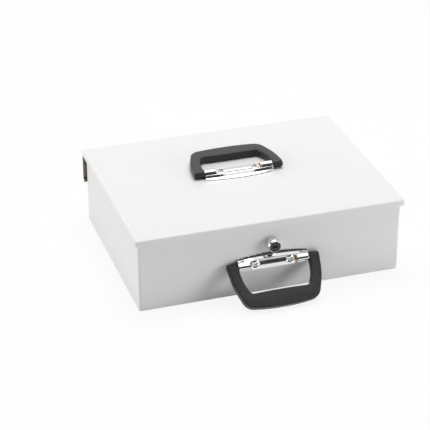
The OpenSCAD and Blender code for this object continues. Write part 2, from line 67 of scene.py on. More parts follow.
# %% Read the sizes of the construction
case_low, case_high = (np.array(c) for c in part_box("outer_shell"))
lid_low, lid_high = (np.array(c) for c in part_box("lid_shell"))
liner_low, liner_high = (np.array(c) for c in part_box("inner_liner"))
joints = {joint["name"]: joint for joint in record["behaviour"]["joints"]}
lid_pivot = np.array(joints["lid_handle_pivot"]["pos_m"])
front_pivot = np.array(joints["front_handle_pivot"]["pos_m"])
lock_place = np.array(joints["lock_turn"]["pos_m"])
CASE_SHEET = 0.9 * MM
LINER_SHEET = 0.7 * MM
print("case", (case_high - case_low) / MM, "lid", (lid_high - lid_low) / MM)

# %% [markdown]
# ## Camera
#
# A long lens a little over two metres away, left of the middle and above, looks down on the lid at
# about 28 degrees. A long lens keeps the sides nearly parallel, as in a catalogue picture.

# %% Make the camera
camera_data = bpy.data.cameras.new("catalogue_camera")
camera = bpy.data.objects.new("catalogue_camera", camera_data)
bpy.context.collection.objects.link(camera)
bpy.context.scene.camera = camera
CAMERA_YAW = 18.007
CAMERA_PITCH = 28.541
camera_data.sensor_width = 36
camera_data.lens = 139.35
camera_data.clip_end = 50
camera.location = (-0.6362, -1.8537, 1.1080)
camera.rotation_euler = (math.radians(90 - CAMERA_PITCH), 0, -math.radians(CAMERA_YAW))
print("camera at", tuple(camera.location))

# %% [markdown]
# ## Making a mesh from a formula
#
# A surface is a grid of points: one number runs along it and one across. Numpy works out all the
# points at once, and the faces are the squares between neighbours. Where a grid closes on itself or
# runs into a pole, the doubled points are merged, and then all faces are turned outwards.


# %% Turn grids of points into a piece
def grid_faces(rows, columns, round_rows, round_columns):
    """Squares between neighbours of a grid, each as the four places of its corners in the flat list."""
    i, j = np.meshgrid(
        np.arange(rows if round_rows else rows - 1),
        np.arange(columns if round_columns else columns - 1),
        indexing="ij",
    )
    i2, j2 = (i + 1) % rows, (j + 1) % columns
    corners = [i * columns + j, i2 * columns + j, i2 * columns + j2, i * columns + j2]
    return np.stack(corners, axis=-1).reshape(-1, 4)


def make_piece(name, grids, material, body, replaces=(), round_rows=False, round_columns=False):
    """Joins grids of points into one mesh, merges doubled points and turns the faces outwards."""
    points, faces, count = [], [], 0
    for grid in grids:
        rows, columns = grid.shape[:2]
        faces.append(grid_faces(rows, columns, round_rows, round_columns) + count)
        points.append(grid.reshape(-1, 3))
        count += rows * columns
    mesh = bpy.data.meshes.new(name)
    mesh.from_pydata(np.concatenate(points).tolist(), [], np.concatenate(faces).tolist())
    shape = bmesh.new()
    shape.from_mesh(mesh)
    bmesh.ops.remove_doubles(shape, verts=shape.verts, dist=0.002 * MM)
    bmesh.ops.dissolve_degenerate(shape, edges=shape.edges, dist=0.002 * MM)
    bmesh.ops.recalc_face_normals(shape, faces=shape.faces)
    shape.to_mesh(mesh)
    shape.free()
    mesh.shade_smooth()
    mesh.set_sharp_from_angle(angle=math.radians(40))
    piece = bpy.data.objects.new(name, mesh)
    bpy.context.collection.objects.link(piece)
    mesh.materials.append(material)
    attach(piece, body)
    if replaces:
        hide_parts(*replaces)
    print(name, len(mesh.polygons), "faces")
    return piece


# %% Round the corners of a profile
def rounded(corners, radii, steps=6, lead=0.25 * MM):
    """Swaps each inner corner of a line for an arc of its radius. The arc's centre lies on the corner's
    bisector, radius / sin(half the corner's angle) away. A point just before and after each arc keeps
    the flat runs flat, so the light doesn't bend across them."""
    corners = np.asarray(corners, dtype=float)
    line = [corners[:1]]
    for before, corner, after, radius in zip(corners, corners[1:], corners[2:], radii):
        u = (before - corner) / np.linalg.norm(before - corner)
        v = (after - corner) / np.linalg.norm(after - corner)
        half = math.acos(np.clip(u @ v, -1, 1)) / 2
        tangent = radius / math.tan(half)
        centre = corner + (u + v) / np.linalg.norm(u + v) * radius / math.sin(half)
        first = corner + tangent * u - centre
        last = corner + tangent * v - centre
        turn = math.atan2(first[0] * last[1] - first[1] * last[0], first @ last)
        angles = math.atan2(first[1], first[0]) + np.linspace(0, turn, steps + 1)
        arc = centre + radius * np.stack([np.cos(angles), np.sin(angles)], axis=-1)
        line += [[arc[0] + lead * u], arc, [arc[-1] + lead * v]]
    line.append(corners[-1:])
    return np.concatenate(line)


# %% Carry a profile round a rectangle
CORNER_SIGNS = np.array([[1, -1], [1, 1], [-1, 1], [-1, -1]])
CORNER_START = np.array([-0.5, 0, 0.5, 1]) * math.pi


def ring_sweep(centre, half, corner_radii, profile, steps=6, lead=0.3 * MM):
    """Carries a profile of (outwards, height) points round a rectangle with round corners. At each
    corner a point stands at the corner's middle plus (radius + outwards) along the turning normal.
    Where that radius would be less than nothing the corner is sharp and its middle moves inwards."""
    out, height = np.asarray(profile).T
    base = np.asarray(corner_radii, dtype=float)[:, None]
    radius = np.maximum(base + out, 0)
    inset = np.maximum(-(base + out), 0)
    reach = np.maximum(np.asarray(half) - (base + inset)[..., None], 0)
    middle = np.asarray(centre) + CORNER_SIGNS[:, None] * reach
    turns = np.concatenate([[0], np.linspace(0, math.pi / 2, steps + 1), [math.pi / 2]])
    shift = np.concatenate([[-lead], np.zeros(steps + 1), [lead]])
    angle = CORNER_START[:, None] + turns
    normal = np.stack([np.cos(angle), np.sin(angle)], axis=-1)[:, :, None]
    tangent = np.stack([-np.sin(angle), np.cos(angle)], axis=-1)[:, :, None]
    slide = shift[None, :, None] * np.minimum(1, radius / base)[:, None]
    flat = middle[:, None] + radius[:, None, :, None] * normal + slide[..., None] * tangent
    tall = np.broadcast_to(height, flat.shape[:3])[..., None]
    return np.concatenate([flat, tall], axis=-1).reshape(-1, len(out), 3)


# %% [markdown]
# ## Materials
#
# Each material is a real one with the process that finished it. Its colours are sRGB hex values,
# and one function turns them to the linear values that the renderer works in. Patterns read Object
# coordinates, which are metres here, so a pattern of a given size in millimetres has a scale of
# 1000 divided by that size.


# %% Helpers for materials
def linear(hex_colour):
    """A hex colour as linear RGBA: c / 12.92 for small channels, else ((c + 0.055) / 1.055) ** 2.4."""
    c = np.array([int(hex_colour[i:i + 2], 16) for i in (1, 3, 5)]) / 255
    rgb = np.where(c <= 0.04045, c / 12.92, ((c + 0.055) / 1.055) ** 2.4)
    return (*rgb.tolist(), 1.0)


def add_node(tree, kind, links=None, values=None, **settings):
    """Adds a node of a kind, sets its properties and input values, and links other nodes into it."""
    node = tree.nodes.new(kind)
    for name, value in settings.items():
        setattr(node, name, value)
    for socket, value in (values or {}).items():
        node.inputs[socket].default_value = value
    for socket, source in (links or {}).items():
        tree.links.new(source, node.inputs[socket])
    return node


def per_mm(size):
    """The scale that repeats a pattern about every so many millimetres."""
    return 1000 / size


def start_material(name):
    """An empty material, its node tree and the Object coordinates to hang patterns on."""
    material = bpy.data.materials.new(name)
    material.use_nodes = True
    tree = material.node_tree
    tree.nodes.clear()
    return material, tree, add_node(tree, "ShaderNodeTexCoord").outputs["Object"]


def end_material(tree, shader):
    """Links the finished shader to the material's output."""
    add_node(tree, "ShaderNodeOutputMaterial", {"Surface": shader.outputs["BSDF"]})


# %% [markdown]
# ### Baked enamel
#
# The outside is sheet steel sprayed and baked with a pale, faintly warm grey enamel. Up close such a
# coat has orange peel: soft waves a couple of millimetres apart. From further off it only has a
# broad, soft gloss. The waves are a fine bump, and a very wide noise shifts the tone by a hair.


# %% Enamel outside and inside
def enamel_material(name, pale, deep, roughness, peel_strength):
    """Enamel in two close tones, with orange peel as a bump and a roughness that varies a little."""
    material, tree, place = start_material(name)
    cloud = add_node(tree, "ShaderNodeTexNoise", {"Vector": place}, {"Scale": per_mm(140), "Detail": 2})
    tone = add_node(
        tree, "ShaderNodeMix", {"Factor": cloud.outputs["Fac"]}, data_type="RGBA"
    )
    tone.inputs[6].default_value = linear(pale)
    tone.inputs[7].default_value = linear(deep)
    gloss = add_node(
        tree,
        "ShaderNodeMapRange",
        {"Value": cloud.outputs["Fac"]},
        {"To Min": roughness - 0.04, "To Max": roughness + 0.04},
    )
    peel = add_node(tree, "ShaderNodeTexNoise", {"Vector": place}, {"Scale": per_mm(2.6), "Detail": 1})
    bump = add_node(
        tree,
        "ShaderNodeBump",
        {"Height": peel.outputs["Fac"]},
        {"Strength": peel_strength, "Distance": 0.05 * MM},
    )
    shader = add_node(
        tree,
        "ShaderNodeBsdfPrincipled",
        {
            "Base Color": tone.outputs[2],
            "Roughness": gloss.outputs["Result"],
            "Normal": bump.outputs["Normal"],
        },
        {"IOR": 1.5, "Coat Weight": 0.15, "Coat Roughness": 0.2},
    )
    end_material(tree, shader)
    return material


enamel = enamel_material("baked_enamel_on_sheet_steel", "#EDEDEC", "#E9E9E8", 0.42, 0.25)
liner_enamel = enamel_material("matt_enamel_on_liner", "#E2E1DE", "#DBDAD6", 0.6, 0.4)

# %% [markdown]
# ### Chrome plate
#
# The brackets, the screws and the lock's head are pressed or cast, polished and chrome plated. Chrome
# is nearly a mirror and shows what is round it, so it is a metal with a low roughness. Handling
# leaves faint smears, which a noise puts into the roughness.

# %% Chrome
chrome, tree, place = start_material("bright_chrome_plate")
smear = add_node(tree, "ShaderNodeTexNoise", {"Vector": place}, {"Scale": per_mm(9), "Detail": 3})
gloss = add_node(
    tree, "ShaderNodeMapRange", {"Value": smear.outputs["Fac"]}, {"To Min": 0.05, "To Max": 0.13}
)
ripple = add_node(tree, "ShaderNodeTexNoise", {"Vector": place}, {"Scale": per_mm(6), "Detail": 1})
bump = add_node(
    tree,
    "ShaderNodeBump",
    {"Height": ripple.outputs["Fac"]},
    {"Strength": 0.2, "Distance": 0.06 * MM},
)
shader = add_node(
    tree,
    "ShaderNodeBsdfPrincipled",
    {"Roughness": gloss.outputs["Result"], "Normal": bump.outputs["Normal"]},
    {"Base Color": linear("#E6E6E8"), "Metallic": 1.0},
)
end_material(tree, shader)

# %% [markdown]
# ### Plated and bronzed steel
#
# Hidden fittings are plain steel with a plated coat: bright zinc, yellow passivated zinc on the
# pivot pins, brown bronzing on the hinge, and brass for the wafers. They differ in colour and in the
# size of the faint clouds that the bath leaves, so one function makes them all.


# %% Plated metals
def plated_material(name, light, dark, roughness, cloud_mm, stretch=(1, 1, 1)):
    """A metal in two tones that change over cloud_mm, stretched along an axis where sheet was rolled."""
    material, tree, place = start_material(name)
    along = add_node(tree, "ShaderNodeMapping", {"Vector": place}, {"Scale": stretch})
    cloud = add_node(
        tree, "ShaderNodeTexNoise", {"Vector": along.outputs["Vector"]}, {"Scale": per_mm(cloud_mm), "Detail": 4}
    )
    tone = add_node(tree, "ShaderNodeMix", {"Factor": cloud.outputs["Fac"]}, data_type="RGBA")
    tone.inputs[6].default_value = linear(light)
    tone.inputs[7].default_value = linear(dark)
    gloss = add_node(
        tree,
        "ShaderNodeMapRange",
        {"Value": cloud.outputs["Fac"]},
        {"To Min": roughness - 0.08, "To Max": roughness + 0.08},
    )
    bump = add_node(
        tree,
        "ShaderNodeBump",
        {"Height": cloud.outputs["Fac"]},
        {"Strength": 0.25, "Distance": 0.05 * MM},
    )
    shader = add_node(
        tree,
        "ShaderNodeBsdfPrincipled",
        {
            "Base Color": tone.outputs[2],
            "Roughness": gloss.outputs["Result"],
            "Normal": bump.outputs["Normal"],
        },
        {"Metallic": 1.0},
    )
    end_material(tree, shader)
    return material


ROLLED = (0.06, 1, 1)
zinc_steel = plated_material("bright_zinc_plate", "#C9CCD1", "#AEB2B8", 0.34, 3)
yellow_zinc = plated_material("yellow_zinc_plate", "#D8C08A", "#A98850", 0.3, 2)
wafer_brass = plated_material("stamped_brass", "#D8B45E", "#B8933F", 0.3, 2)
hinge_bronze = plated_material("bronzed_rolled_steel", "#8A7D73", "#6F645C", 0.42, 3, ROLLED)

# %% [markdown]
# ### The plug's dark face
#
# The face of the turning plug is die-cast zinc, faced on a lathe and darkened. Turning leaves fine
# rings round its axis, drawn here a little coarser than they are so that they show.

# %% Dark turned zinc
RING_MM = 0.5
dark_zinc, tree, place = start_material("turned_dark_zinc")
centred = add_node(
    tree, "ShaderNodeMapping", {"Vector": place}, {"Location": (-lock_place[0], 0, -lock_place[2])}
)
rings = add_node(
    tree,
    "ShaderNodeTexWave",
    {"Vector": centred.outputs["Vector"]},
    {"Scale": per_mm(RING_MM) / (2 * math.pi), "Distortion": 0.4},
    wave_type="RINGS",
    rings_direction="Y",
)
tone = add_node(tree, "ShaderNodeMix", {"Factor": rings.outputs["Fac"]}, data_type="RGBA")
tone.inputs[6].default_value = linear("#38383B")
tone.inputs[7].default_value = linear("#4C4C50")
bump = add_node(
    tree, "ShaderNodeBump", {"Height": rings.outputs["Fac"]}, {"Strength": 0.2, "Distance": 0.03 * MM}
)
shader = add_node(
    tree,
    "ShaderNodeBsdfPrincipled",
    {"Base Color": tone.outputs[2], "Normal": bump.outputs["Normal"]},
    {"Metallic": 1.0, "Roughness": 0.3},
)
end_material(tree, shader)

# %% [markdown]
# ### Moulded grip with a leather grain
#
# The grips are moulded in black plastic from a mould etched with a leather grain: flat pebbles about
# a millimetre and a half across with fine creases between. A Voronoi pattern gives each pebble's
# distance to its border. That distance makes the creases' bump, and it also makes painted shade, because the
# creases are painted a little darker than the pebbles. The plastic has a satin surface, so a broad light turns its
# top side grey.

# %% Grained black plastic
PEBBLE_MM = 2.0
grip_plastic, tree, place = start_material("moulded_grained_plastic")
wander = add_node(tree, "ShaderNodeTexNoise", {"Vector": place}, {"Scale": per_mm(4), "Detail": 2})
bent = add_node(
    tree,
    "ShaderNodeVectorMath",
    {0: wander.outputs["Color"], 2: place},
    {1: (1.2 * MM, 1.2 * MM, 1.2 * MM)},
    operation="MULTIPLY_ADD",
)
pebbles = add_node(
    tree,
    "ShaderNodeTexVoronoi",
    {"Vector": bent.outputs["Vector"]},
    {"Scale": per_mm(PEBBLE_MM)},
    feature="DISTANCE_TO_EDGE",
)
crease_depth_and_shade = add_node(
    tree,
    "ShaderNodeMapRange",
    {"Value": pebbles.outputs["Distance"]},
    {"From Max": 0.22},
    interpolation_type="SMOOTHSTEP",
)
pores = add_node(tree, "ShaderNodeTexNoise", {"Vector": place}, {"Scale": per_mm(0.5), "Detail": 2})
height = add_node(
    tree,
    "ShaderNodeMath",
    {0: pores.outputs["Fac"], 2: crease_depth_and_shade.outputs["Result"]},
    {1: 0.25},
    operation="MULTIPLY_ADD",
)
bump = add_node(
    tree, "ShaderNodeBump", {"Height": height.outputs["Value"]}, {"Strength": 0.7, "Distance": 0.22 * MM}
)
# Painted shade: the creases take the darker of the two blacks and stand in for the shade that falls in them.
tone = add_node(tree, "ShaderNodeMix", {"Factor": crease_depth_and_shade.outputs["Result"]}, data_type="RGBA")
tone.inputs[6].default_value = linear("#09080C")
tone.inputs[7].default_value = linear("#18151D")
shader = add_node(
    tree,
    "ShaderNodeBsdfPrincipled",
    {"Base Color": tone.outputs[2], "Normal": bump.outputs["Normal"]},
    {"Roughness": 0.36, "IOR": 1.5},
)
end_material(tree, shader)

# %% [markdown]
# ### Heat seal and mineral fill
#
# The strip round the rim swells in a fire. It is pressed fibre, dark and quite matt. The fill between
# the skins is cast like plaster: off-white, chalky and full of small pores.


# %% Matt materials
def matt_material(name, light, dark, grain_mm, depth_mm):
    """A matt material whose tone and bump follow one noise with a grain of grain_mm."""
    material, tree, place = start_material(name)
    grain = add_node(tree, "ShaderNodeTexNoise", {"Vector": place}, {"Scale": per_mm(grain_mm), "Detail": 5})
    tone = add_node(tree, "ShaderNodeMix", {"Factor": grain.outputs["Fac"]}, data_type="RGBA")
    tone.inputs[6].default_value = linear(dark)
    tone.inputs[7].default_value = linear(light)
    bump = add_node(
        tree,
        "ShaderNodeBump",
        {"Height": grain.outputs["Fac"]},
        {"Strength": 0.6, "Distance": depth_mm * MM},
    )
    shader = add_node(
        tree,
        "ShaderNodeBsdfPrincipled",
        {"Base Color": tone.outputs[2], "Normal": bump.outputs["Normal"]},
        {"Roughness": 0.95},
    )
    end_material(tree, shader)
    return material


seal_fibre = matt_material("pressed_fibre_seal", "#4F453D", "#2E2723", 0.8, 0.3)
mineral_fill = matt_material("cast_mineral_fill", "#E6DFCF", "#BDB5A3", 2.5, 0.5)

# %% [markdown]
# ## Materials of the pieces that stay as constructed
#
# The record names a material slot for every node. Each slot gets its finish here, and all nodes wear
# it, whether or not a smoother piece replaces them below.

# %% Dress the construction
finishes = {
    "enamel": enamel,
    "liner_paint": liner_enamel,
    "insulation": mineral_fill,
    "seal": seal_fibre,
    "hinge_bronze": hinge_bronze,
    "zinc_steel": zinc_steel,
    "chrome": chrome,
    "dark_zinc": dark_zinc,
    "wafer_brass": wafer_brass,
    "yellow_zinc": yellow_zinc,
    "grip_plastic": grip_plastic,
}
for row in record["subparts"]:
    for place_for_material in frame["nodes"][row["node"]].material_slots:
        place_for_material.material = finishes[row["material_slot"]]
print(len(record["subparts"]), "nodes dressed in", len(finishes), "finishes")

# %% [markdown]
# ## The case
#
# The shell is folded from sheet, so its edges are bends with an outer radius of about two
# millimetres, and its top turns in as a flange. One profile, drawn once with its bends, goes round
# the rectangle: in along the bottom, up the outside, in over the flange and back down the inside.

# %% Outer shell
case_middle = (case_low + case_high) / 2
case_half = (case_high - case_low) / 2
case_top = case_high[2]
to_middle = -case_half[1]
t = CASE_SHEET
shell_profile = rounded(
    [
        (to_middle, 0),
        (0, 0),
        (0, case_top),
        (-11 * MM, case_top),
        (-11 * MM, case_top - t),
        (-t, case_top - t),
        (-t, t),
        (to_middle, t),
    ],
    [2.0 * MM, 1.2 * MM, 0.3 * MM, 0.3 * MM, 0.4 * MM, 1.1 * MM],
)
shell_grid = ring_sweep(case_middle[:2], case_half[:2], [3 * MM] * 4, shell_profile)
make_piece("case_shell", [shell_grid], enamel, "case", ["outer_shell"], round_rows=True)

# %% [markdown]
# The liner is a deep tray with soft corners, because it is pressed and its corners are rounded to
# be wiped clean. Its flange turns outwards and lies on the shell's.

# %% Liner tray
liner_floor = case_low[2] + 18 * MM
liner_top = liner_high[2]
liner_flange = 12 * MM
liner_half = (liner_high - liner_low)[:2] / 2 - liner_flange
liner_middle = ((liner_high + liner_low) / 2)[:2]
t = LINER_SHEET
liner_profile = rounded(
    [
        (-liner_half[1], liner_floor),
        (0, liner_floor),
        (0, liner_top),
        (liner_flange, liner_top),
        (liner_flange, liner_top - t),
        (t, liner_top - t),
        (t, liner_floor - t),
        (-liner_half[1], liner_floor - t),
    ],
    [4 * MM, 1.0 * MM, 0.25 * MM, 0.25 * MM, 0.3 * MM, 4.5 * MM],
)
liner_grid = ring_sweep(liner_middle, liner_half, [5 * MM] * 4, liner_profile)
make_piece("liner_tray", [liner_grid], liner_enamel, "case", ["inner_liner"], round_rows=True)

# %% [markdown]
# ## The lid
#
# The lid is a shallow pressing: a flat top, a bend, a rim eight millimetres deep and a raw edge at
# its bottom. At the rear the rim is a deep flange that reaches down to the hinge pin, so there the
# rim's lower points are pulled down to the flange's edge.

# %% Lid skin with its rear flange
RIM = 8 * MM
lid_top = lid_high[2]
lid_middle = (lid_low + lid_high) / 2
lid_half = (lid_high - lid_low) / 2
rim_bottom = lid_top - RIM
flange_bottom = lid_low[2]
t = CASE_SHEET
lid_profile = rounded(
    [
        (-lid_half[1], lid_top - t),
        (-t, lid_top - t),
        (-t, rim_bottom),
        (0, rim_bottom),
        (0, lid_top),
        (-lid_half[1], lid_top),
    ],
    [1.1 * MM, 0.25 * MM, 0.25 * MM, 2.0 * MM],
)
LID_STEPS = 6
lid_grid = ring_sweep(
    lid_middle[:2], lid_half[:2], [3 * MM, 1.2 * MM, 1.2 * MM, 3 * MM], lid_profile, LID_STEPS
)
per_corner = LID_STEPS + 3
rear_stations = np.arange(2 * per_corner - 2, 2 * per_corner + 2)
rim_points = np.flatnonzero(lid_profile[:, 1] < rim_bottom + RIM / 3)
lid_grid[np.ix_(rear_stations, rim_points, [2])] -= rim_bottom - flange_bottom
make_piece("lid_skin", [lid_grid], enamel, "lid", ["lid_shell"], round_rows=True)

# %% [markdown]
# Under the lid hangs the pan that holds the fill: a flange against the lid's skin and a plug with
# soft edges that drops into the case. The heat seal is a ring stuck to the flange.

# %% Lid pan and heat seal
pan_low, pan_high = (np.array(c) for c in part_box("lid_pan"))
fill_low, fill_high = (np.array(c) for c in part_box("lid_insulation"))
t = LINER_SHEET
plug_low, plug_high = fill_low - t, fill_high + t
plug_half = (plug_high - plug_low)[:2] / 2
plug_middle = ((plug_high + plug_low) / 2)[:2]
flange_out = 19 * MM
pan_profile = rounded(
    [
        (-plug_half[1], plug_low[2] + t),
        (-t, plug_low[2] + t),
        (-t, pan_high[2]),
        (flange_out, pan_high[2]),
        (flange_out, pan_high[2] - t),
        (0, pan_high[2] - t),
        (0, plug_low[2]),
        (-plug_half[1], plug_low[2]),
    ],
    [2.2 * MM, 1.5 * MM, 0.25 * MM, 0.25 * MM, 0.8 * MM, 3 * MM],
)
pan_grid = ring_sweep(plug_middle, plug_half, [5 * MM] * 4, pan_profile)
make_piece("lid_pan_pressing", [pan_grid], liner_enamel, "lid", ["lid_pan"], round_rows=True)

seal_low, seal_high = (np.array(c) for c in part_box("rim_seal"))
SEAL_WIDTH = 9 * MM
seal_profile = rounded(
    [
        (-SEAL_WIDTH / 2, seal_high[2]),
        (-SEAL_WIDTH, seal_high[2]),
        (-SEAL_WIDTH, seal_low[2]),
        (0, seal_low[2]),
        (0, seal_high[2]),
        (-SEAL_WIDTH / 2, seal_high[2]),
    ],
    [0.3 * MM, 1.0 * MM, 1.0 * MM, 0.3 * MM],
)
seal_grid = ring_sweep(
    ((seal_low + seal_high) / 2)[:2], (seal_high - seal_low)[:2] / 2, [6 * MM] * 4, seal_profile
)
make_piece("heat_seal", [seal_grid], seal_fibre, "lid", ["rim_seal"], round_rows=True)

# %% [markdown]
# ## Turned and headed pieces
#
# The lock's head, the screws and the rivets are round, so each is a profile of (radius, height)
# turned about an axis. The cross in a screw's head is cut by lowering the turned surface wherever it
# lies inside one of two tapered bars.


# %% Turn a profile about an axis
def lathe(profile, around=48):
    """Turns (radius, height) points about the Z axis: x = r cos a, y = r sin a, z = height."""
    radius, height = np.asarray(profile).T
    angle = np.linspace(0, 2 * math.pi, around, endpoint=False)[:, None]
    x, y = radius * np.cos(angle), radius * np.sin(angle)
    return np.stack([x, y, np.broadcast_to(height, x.shape)], axis=-1)


def smoothstep(value):
    """Rises from 0 to 1 as value does, level at both ends: 3 v^2 - 2 v^3."""
    value = np.clip(value, 0, 1)
    return value * value * (3 - 2 * value)


def moved(points, axes, origin):
    """Points from a local frame, whose X, Y and Z run along the rows of axes, to the object's frame."""
    return points @ np.asarray(axes, dtype=float) + np.asarray(origin)


# %% Lock head
head_low, head_high = (np.array(c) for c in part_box("lock_housing"))
head_r = (head_high[0] - head_low[0]) / 2
head_h = case_low[1] - head_low[1]
barrel_end = head_high[1] - case_low[1]
barrel_r = 15.5 / 2 * MM
face_r = 14.6 / 2 * MM
bore_r = 12.1 / 2 * MM
head_profile = rounded(
    [
        (bore_r, head_h - 2.1 * MM),
        (face_r, head_h - 2.1 * MM),
        (face_r, head_h),
        (face_r + 0.4 * MM, head_h),
        (head_r - 0.3 * MM, head_h - 2.4 * MM),
        (head_r, 1.0 * MM),
        (head_r, 0),
        (barrel_r, 0),
        (barrel_r, -barrel_end),
        (bore_r, -barrel_end),
        (bore_r, head_h - 2.1 * MM),
    ],
    [0.1 * MM, 0.1 * MM, 0.3 * MM, 1.6 * MM, 1.0 * MM, 0.4 * MM, 0.1 * MM, 0.3 * MM, 0.1 * MM],
    lead=0.1 * MM,
)
FRONT_AXES = [(1, 0, 0), (0, 0, 1), (0, -1, 0)]
lock_grid = moved(lathe(head_profile, 64), FRONT_AXES, lock_place)
make_piece("lock_head", [lock_grid], chrome, "case", ["lock_housing"], round_rows=True)

# %% [markdown]
# ## Handle brackets
#
# Each bracket is pressed from chrome-plated sheet. Along the pivot line lie two rolled tubes, and
# between them a sunk pad behind a narrow lip takes the screws in round dimples. The pad leans a few
# degrees towards the grip, so it mirrors the grip. On the other side a raised rib runs the whole
# length and falls to an edge cut as a shallow arch. Every cross-section is one line of points, so
# the pressing is a grid: along the pivot, and across from the straight edge to the arch. The
# section changes from tube to pad over less than a millimetre, where a round punch scooped the tube.


# %% Sizes of a handle, from its brackets, pins and grip
bracket_low, bracket_high = (np.array(c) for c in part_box("lid_bracket"))
grip_low, grip_high = (np.array(c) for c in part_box("lid_grip"))
screws_low, screws_high = (np.array(c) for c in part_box("lid_bracket_screws"))
bracket_x = bracket_high[0]
pivot_h = lid_pivot[2] - lid_top
tube_r = bracket_high[2] - lid_top - pivot_h
arch_y = lid_pivot[1] - bracket_low[1]
ARCH_RISE = 4.6 * MM
screw_head_r = (screws_high[1] - screws_low[1]) / 2
screw_x = screws_high[0] - screw_head_r
screw_y = lid_pivot[1] - (screws_high[1] + screws_low[1]) / 2
SCREW_HEAD_H = 2.4 * MM
seat_h = screws_high[2] - lid_top - SCREW_HEAD_H
SCOOP_R = 8.5 * MM
DIMPLE_R = 5.3 * MM
print("tube radius", tube_r, "pivot height", pivot_h, "screws at", screw_x, screw_y)


# %% The bracket's surface
def resample(line, count):
    """Points at equal steps along a line of points."""
    step = np.linalg.norm(np.diff(line, axis=0), axis=1)
    run = np.concatenate([[0], np.cumsum(step)])
    want = np.linspace(0, run[-1], count)
    return np.stack([np.interp(want, run, line[:, k]) for k in range(2)], axis=-1)


def bracket_surface(along=220):
    """The pressed sheet in the handle's frame: X along the pivot, Y towards the arch, Z off the face.
    Each section runs from the straight edge over a tube or the sunk pad, then over the rib to the arch."""
    x = np.linspace(-bracket_x, bracket_x, along)[:, None]
    join = np.array([6.0, 5.1]) * MM
    turn = np.linspace(math.pi, 0.1 * math.pi, 40)
    crown = np.stack([tube_r * np.cos(turn), pivot_h + tube_r * np.sin(turn)], axis=-1)
    tube = resample(np.concatenate([[(-tube_r, 0)], crown, [join]]), 64)
    pad = rounded(
        [
            (-tube_r, 0),
            (-tube_r, 7.4 * MM),
            (-tube_r + 0.8 * MM, 7.2 * MM),
            (-tube_r + 3.3 * MM, 4.6 * MM),
            (join[0] - 0.6 * MM, 5.1 * MM),
            tuple(join),
        ],
        [0.5 * MM, 0.5 * MM, 0.5 * MM, 0.1 * MM],
        lead=0.1 * MM,
    )
    pad = resample(pad, 64)
    scoop_edge = screw_x + np.sqrt(np.maximum(SCOOP_R**2 - (tube[:, 0] - screw_y) ** 2, 0))
    is_tube = smoothstep((np.abs(x) - scoop_edge) / (0.7 * MM))[..., None]
    inner = pad + is_tube * (tube - pad)
    away = np.hypot(np.abs(x) - screw_x, inner[..., 0] - screw_y)
    sunk = 1 - smoothstep((away - DIMPLE_R) / (0.6 * MM))
    on_pad = inner[..., 0] > -tube_r + 0.9 * MM
    inner[..., 1] -= sunk * on_pad * (1 - is_tube[..., 0]) * np.maximum(inner[..., 1] - seat_h, 0)
    ends = (x / bracket_x) ** 2
    edge = arch_y - ARCH_RISE * ends
    rib = rounded(
        [
            tuple(join),
            (6.8 * MM, 5.9 * MM),
            (7.6 * MM, 5.9 * MM),
            (10.7 * MM, 2.7 * MM),
            (11.3 * MM, 2.4 * MM),
        ],
        [0.6 * MM, 1.0 * MM, 0.5 * MM],
        lead=0.1 * MM,
    )
    rib = resample(rib, 34)[1:]
    foot = edge - (2.7 - 1.0 * ends) * MM
    squeeze = (foot - join[0]) / (rib[-1, 0] - join[0])
    rib_y = join[0] + (rib[:, 0] - join[0]) * squeeze
    rib_z = np.broadcast_to(rib[:, 1], rib_y.shape)
    share = np.linspace(0, 1, 10)[1:]
    flat_y = foot + (edge - foot) * share
    flat_z = np.broadcast_to(rib[-1, 1] + (1.1 * MM - rib[-1, 1]) * share, flat_y.shape)
    y = np.concatenate([inner[..., 0], rib_y, flat_y], axis=1)
    z = np.concatenate([inner[..., 1], rib_z, flat_z], axis=1)
    return np.stack([np.broadcast_to(x, y.shape), y, z], axis=-1)


# %% The two brackets
LID_AXES = [(-1, 0, 0), (0, -1, 0), (0, 0, 1)]
lid_face = (0, lid_pivot[1], lid_top)
front_face = (0, case_low[1], front_pivot[2])
handles = {
    "lid": (LID_AXES, lid_face, "lid"),
    "front": (FRONT_AXES, front_face, "case"),
}
for name, (axes, origin, body) in handles.items():
    pressing = make_piece(
        f"{name}_bracket_pressing",
        [moved(bracket_surface(), axes, origin)],
        chrome,
        body,
        [f"{name}_bracket"],
    )
    sheet = pressing.modifiers.new("sheet thickness", "SOLIDIFY")
    sheet.thickness = 1.0 * MM
    sheet.offset = -1


# %% Screws with a cross recess
def screw_surface(around=80):
    """A domed head with a cross sunk into it, then the underside and a plain shank."""
    share = np.linspace(0, 1, 30)
    top_r = screw_head_r * share
    dome = SCREW_HEAD_H * np.sqrt(1 - 0.8 * share**2)
    shank_r, shank_end = 2 * MM, screws_low[2] - lid_top - seat_h
    rest = [
        (screw_head_r, 0.3 * MM),
        (screw_head_r - 0.3 * MM, 0),
        (shank_r, 0),
        (shank_r, shank_end),
        (0, shank_end),
    ]
    profile = np.concatenate([np.stack([top_r, dome], axis=-1), rest])
    points = lathe(profile, around)
    x, y = points[..., 0], points[..., 1]
    reach = smoothstep((2.9 * MM - np.hypot(x, y)) / (0.5 * MM))
    narrow = np.minimum(np.abs(x), np.abs(y))
    cross = smoothstep((0.95 * MM - narrow) / (0.4 * MM))
    is_top = np.arange(len(profile)) < len(share)
    points[..., 2] -= 1.4 * MM * cross * reach * is_top
    return points


for name, (axes, origin, body) in handles.items():
    both = [
        moved(screw_surface() + (side * screw_x, screw_y, seat_h), axes, origin) for side in (-1, 1)
    ]
    make_piece(
        f"{name}_screws", both, chrome, body, [f"{name}_bracket_screws"], round_rows=True
    )

# %% [markdown]
# ## Grips
#
# A grip is a flat U with a wide bar. Two rails, the outer and the inner outline, have the same number
# of points, and each pair of points holds one cross-section between them: a rectangle with round
# edges. Past the pivot the arm ends in half a cylinder, so the section's thickness shrinks there as
# a circle does. The whole U is one grid: along the rails, and round the section.


